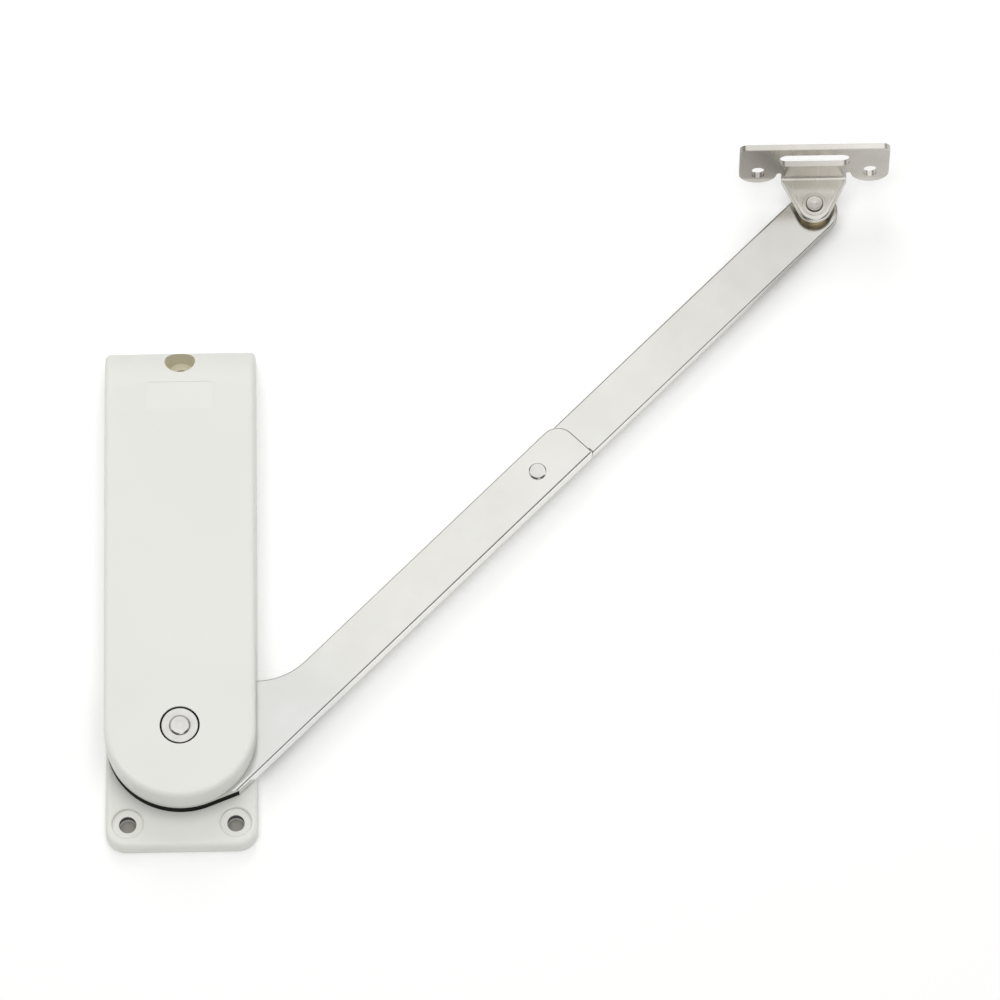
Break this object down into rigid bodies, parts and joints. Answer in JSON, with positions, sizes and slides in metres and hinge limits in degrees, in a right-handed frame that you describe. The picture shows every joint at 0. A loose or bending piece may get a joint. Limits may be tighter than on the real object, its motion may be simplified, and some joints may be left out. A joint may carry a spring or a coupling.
{
  "type": "lid stay",
  "caption": "Soft-closing lid stay with a covered damper housing, a pressed swing arm, a flat link and a folded lid bracket.",
  "frame": {"origin": "on the arm's pivot axis, at the mounting face that is screwed to the cabinet side", "axes": "+Z points away from the cabinet side, along the arm's pivot; +Y runs along the housing from the arm's end to the far end; +X is to the right, on the side the arm swings to"},
  "size_m": [0.2377, 0.2122, 0.0329],
  "materials": {
    "cover_plastic": "warm off-white, satin moulded",
    "dark_plastic": "black, satin",
    "inner_plastic": "natural acetal, satin",
    "nickel_steel": "satin nickel plate, lightly brushed",
    "bracket_steel": "nickel plate with upright press marks",
    "collar_steel": "turned steel",
    "brass": "turned brass",
    "zinc_steel": "bright zinc plate",
    "spring_steel": "oiled spring wire",
    "damper_metal": "drawn tube, satin",
    "seal_rubber": "nitrile rubber"
  },
  "bodies": {
    "housing": {"base_plate": "cover_plastic", "cover": "cover_plastic", "cover_screws": "zinc_steel", "inner_frame": "zinc_steel", "frame_screws": "zinc_steel", "upper_bush": "collar_steel", "lower_bush": "collar_steel", "rack_guide": "inner_plastic", "damper_cylinder": "damper_metal", "damper_end_cap": "dark_plastic", "rod_seal": "seal_rubber", "damper_cradle": "inner_plastic", "assist_spring": "spring_steel"},
    "arm": {"pivot_shaft": "collar_steel", "pinion": "collar_steel", "thrust_washer": "zinc_steel", "root_arm": "nickel_steel", "hub_slide_plate": "dark_plastic", "elbow_rivet": "nickel_steel", "elbow_washer": "dark_plastic"},
    "rack_slider": {"rack": "inner_plastic", "rod_pin": "collar_steel", "piston_rod": "collar_steel", "piston": "dark_plastic", "spring_seat": "zinc_steel"},
    "link_bar": {"link": "nickel_steel", "bracket_rivet": "nickel_steel", "bracket_washer": "nickel_steel", "bracket_spacer": "brass"},
    "lid_bracket": {"bracket": "bracket_steel"}
  },
  "joints": [
    {"name": "arm_pivot", "type": "hinge", "parent": "housing", "child": "arm", "pos_m": [0, 0, 0.009], "axis": [0, 0, 1], "range_deg": [-100, 0]},
    {"name": "rack_slide", "type": "slide", "parent": "housing", "child": "rack_slider", "axis": [0, 1, 0], "range_m": [0, 0.0106], "deforming": ["assist_spring"]},
    {"name": "link_fold", "type": "hinge", "parent": "arm", "child": "link_bar", "pos_m": [0.10698, 0.08309, 0.0066], "axis": [0, 0, 1], "range_deg": [0, 95]},
    {"name": "bracket_pivot", "type": "hinge", "parent": "link_bar", "child": "lid_bracket", "pos_m": [0.19247, 0.16857, 0.012], "axis": [0, 0, 1], "continuous": true}
  ],
  "couplings": [
    {"joint": "rack_slide", "follows": "arm_pivot", "m_per_rad": -0.006}
  ]
}
